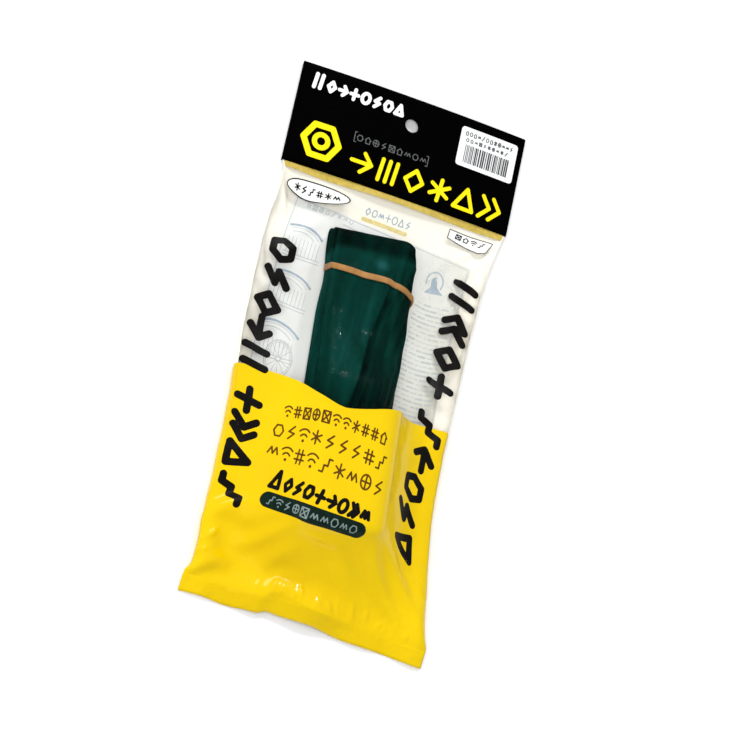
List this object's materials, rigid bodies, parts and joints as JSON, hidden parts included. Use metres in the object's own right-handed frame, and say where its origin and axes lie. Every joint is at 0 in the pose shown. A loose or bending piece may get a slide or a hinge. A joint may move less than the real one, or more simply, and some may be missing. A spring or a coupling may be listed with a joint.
{
  "type": "inner tube",
  "caption": "Bicycle inner tube with a Presta valve, folded flat, held by a rubber band and sealed in a clear and yellow bag with a black header card and a hang hole.",
  "frame": {"origin": "middle of the pack's outline, on the surface it lies on", "axes": "+X across the pack to the right of its front, +Y along the pack to the header's top edge, +Z out of its front"},
  "size_m": [0.118, 0.262, 0.0314],
  "materials": {
    "printed_card": "black printed and varnished card",
    "label_paper": "white coated label",
    "printed_film": "glossy film, clear above and yellow below",
    "clear_film": "glossy milky clear film",
    "butyl_rubber": "dark butyl rubber with a powdery sheen",
    "band_rubber": "tan natural rubber",
    "pad_rubber": "moulded black rubber",
    "nickel_plate": "nickel-plated brass",
    "valve_brass": "turned brass",
    "seal_rubber": "soft black rubber",
    "cap_plastic": "black moulded plastic"
  },
  "bodies": {
    "root": {"header_card": "printed_card", "price_label": "label_paper", "bag_front_film": "printed_film", "bag_back_film": "clear_film", "inner_tube": "butyl_rubber", "rubber_band": "band_rubber", "valve_base_pad": "pad_rubber", "valve_stem": "nickel_plate", "valve_core": "valve_brass", "core_gasket": "seal_rubber"},
    "rim_nut": {"rim_nut": "nickel_plate"},
    "valve_pin": {"valve_pin": "valve_brass", "pin_seal": "seal_rubber"},
    "tip_nut": {"tip_nut": "valve_brass"},
    "dust_cap": {"dust_cap": "cap_plastic"}
  },
  "joints": [
    {"name": "rim_nut_travel", "type": "slide", "parent": "root", "child": "rim_nut", "axis": [-0.061, 0.9981, 0], "range_m": [0, 0.012]},
    {"name": "valve_pin_plunge", "type": "slide", "parent": "root", "child": "valve_pin", "axis": [-0.061, 0.9981, 0], "range_m": [-0.0025, 0]},
    {"name": "tip_nut_travel", "type": "slide", "parent": "valve_pin", "child": "tip_nut", "axis": [-0.061, 0.9981, 0], "range_m": [-0.003, 0]},
    {"name": "dust_cap_pull", "type": "slide", "parent": "root", "child": "dust_cap", "axis": [-0.061, 0.9981, 0], "range_m": [0, 0.017]}
  ]
}
